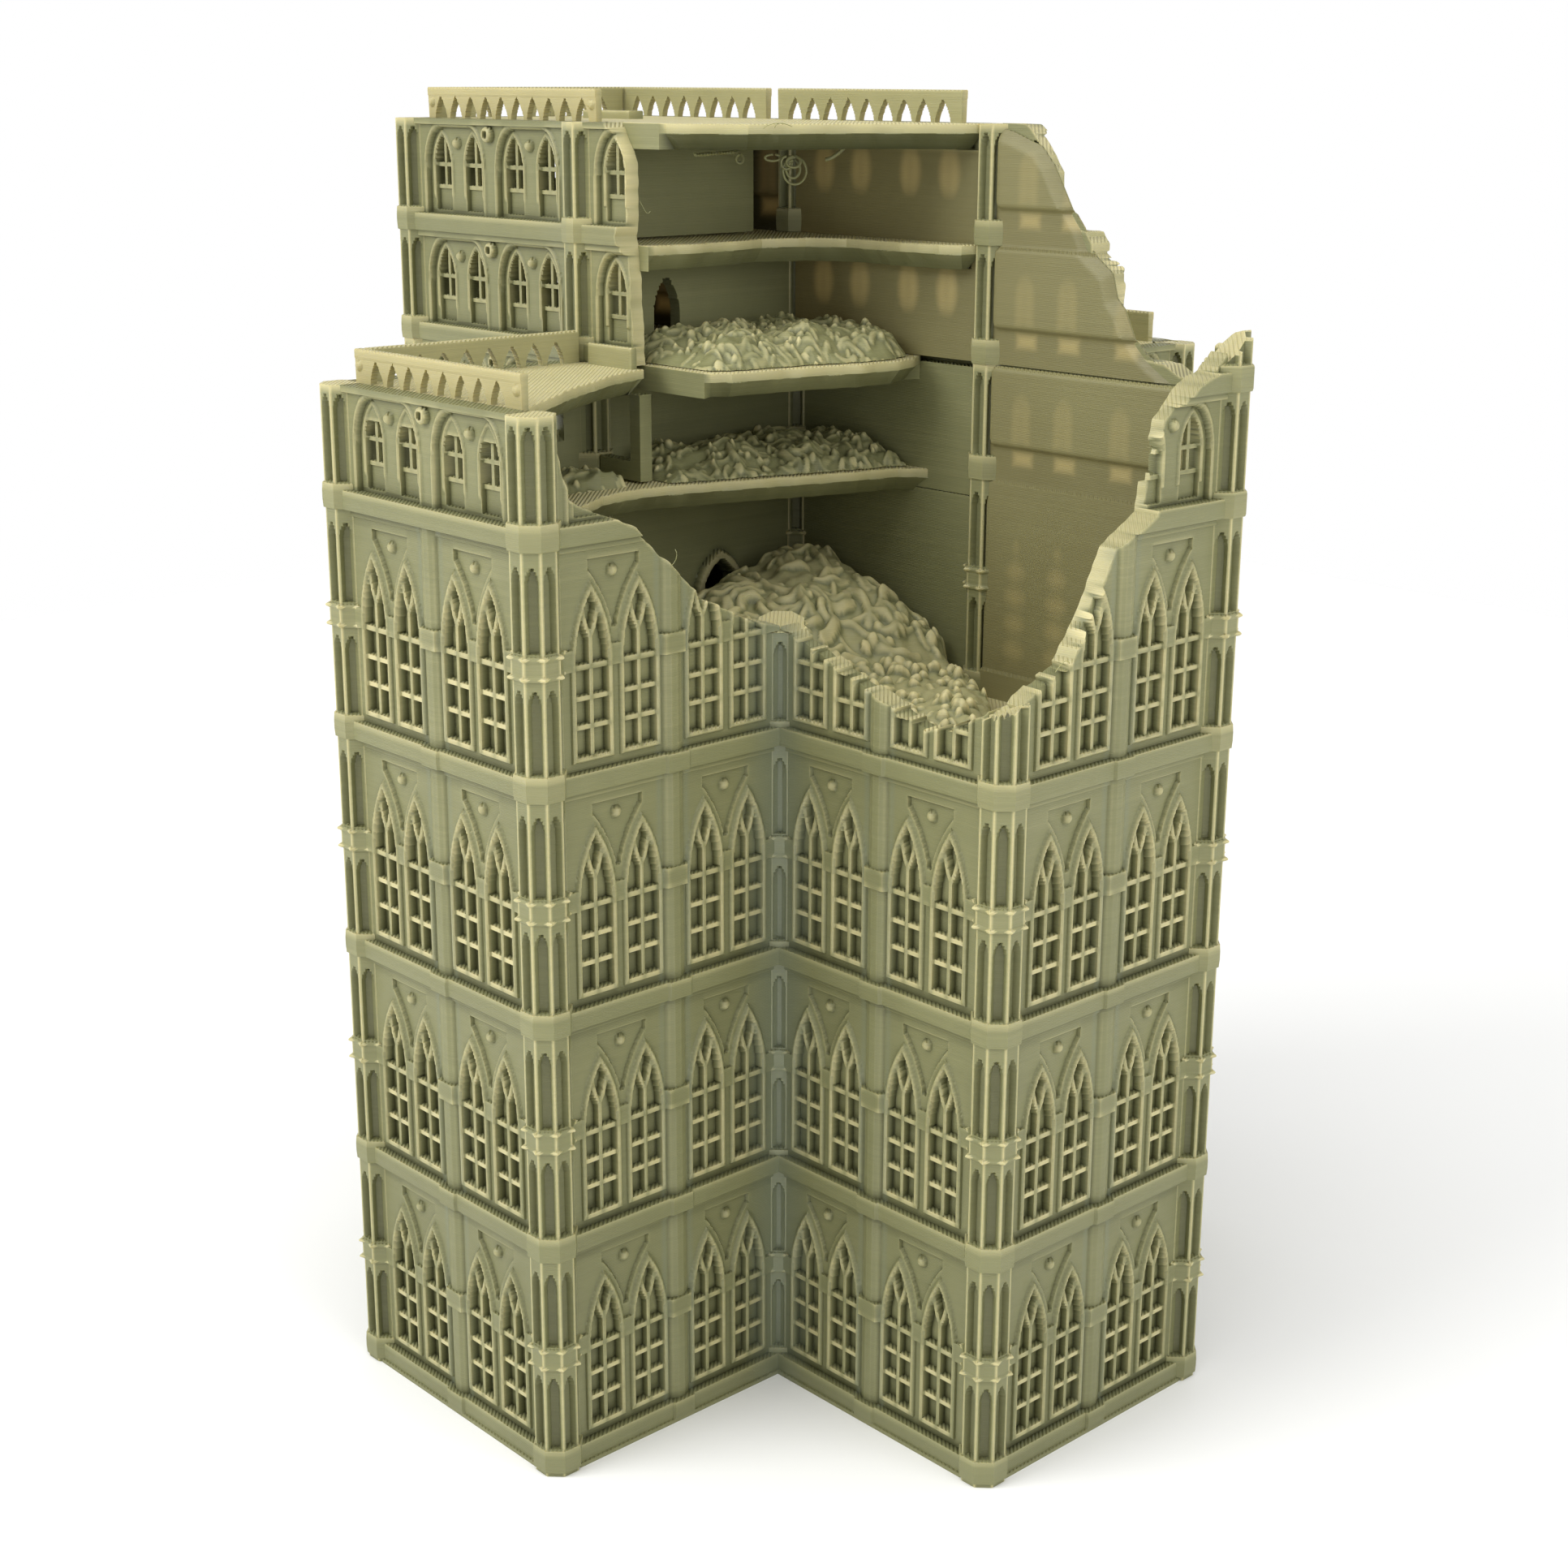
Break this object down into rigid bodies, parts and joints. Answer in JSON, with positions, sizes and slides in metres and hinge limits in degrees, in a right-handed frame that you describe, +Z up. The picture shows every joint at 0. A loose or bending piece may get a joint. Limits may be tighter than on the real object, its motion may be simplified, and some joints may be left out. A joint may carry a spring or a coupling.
{
  "type": "miniature terrain ruin",
  "caption": "Gothic cathedral ruin for tabletop gaming: cross-plan block with lancet windows, a broken-open corner showing rubble-strewn floors, and a lift-off upper tower.",
  "frame": {"origin": "centre of the cross plan, on the face the model stands on", "axes": "+Z up, -Y out of the whole south wing, +X out of the broken east wing, -X towards the tower"},
  "size_m": [0.1106, 0.1106, 0.1548],
  "materials": {
    "printed_shell": "khaki filament plastic, fine horizontal layer lines",
    "printed_trim": "khaki filament plastic, fine horizontal layer lines",
    "printed_rubble": "khaki filament plastic, wormy rubble relief"
  },
  "bodies": {
    "base_block": {"east_wing_end_wall": "printed_shell", "east_wing_left_pillar": "printed_trim", "east_wing_north_wall": "printed_shell", "east_wing_right_pillar": "printed_trim", "east_wing_south_wall": "printed_shell", "gallery_floor": "printed_shell", "gallery_north_partition": "printed_shell", "gallery_rubble": "printed_rubble", "gallery_south_partition": "printed_shell", "gallery_west_partition": "printed_shell", "hall_floor": "printed_shell", "hall_north_partition": "printed_shell", "hall_rubble": "printed_rubble", "hall_west_partition": "printed_shell", "north_roof": "printed_shell", "north_roof_end_rail": "printed_trim", "north_roof_side_rail": "printed_trim", "north_wing_east_wall": "printed_shell", "north_wing_end_wall": "printed_shell", "north_wing_left_pillar": "printed_trim", "north_wing_right_pillar": "printed_trim", "north_wing_west_wall": "printed_shell", "northeast_crossing_pillar": "printed_trim", "northwest_crossing_pillar": "printed_trim", "south_terrace": "printed_shell", "south_wing_east_wall": "printed_shell", "south_wing_end_wall": "printed_shell", "south_wing_left_pillar": "printed_trim", "south_wing_right_pillar": "printed_trim", "south_wing_west_wall": "printed_shell", "southeast_crossing_pillar": "printed_trim", "southwest_crossing_pillar": "printed_trim", "terrace_front_rail": "printed_trim", "terrace_side_rail": "printed_trim", "west_wing_end_wall": "printed_shell", "west_wing_left_pillar": "printed_trim", "west_wing_north_wall": "printed_shell", "west_wing_right_pillar": "printed_trim", "west_wing_south_wall": "printed_shell"},
    "upper_tower": {"crossing_north_rail": "printed_trim", "crossing_north_wall": "printed_shell", "crossing_south_wall": "printed_shell", "east_return_wall": "printed_shell", "lower_tower_partition": "printed_shell", "tower_end_rail": "printed_trim", "tower_end_wall": "printed_shell", "tower_hall_column": "printed_trim", "tower_inner_north_pillar": "printed_trim", "tower_inner_south_pillar": "printed_trim", "tower_lower_floor": "printed_shell", "tower_north_rail": "printed_trim", "tower_north_wall": "printed_shell", "tower_northwest_pillar": "printed_trim", "tower_roof": "printed_shell", "tower_rubble": "printed_rubble", "tower_south_rail": "printed_trim", "tower_south_wall": "printed_shell", "tower_southwest_pillar": "printed_trim", "tower_upper_floor": "printed_shell", "upper_tower_partition": "printed_shell"}
  },
  "joints": [
    {"name": "tower_lift", "type": "slide", "parent": "base_block", "child": "upper_tower", "axis": [0, 0, 1], "range_m": [0, 0.03]}
  ]
}
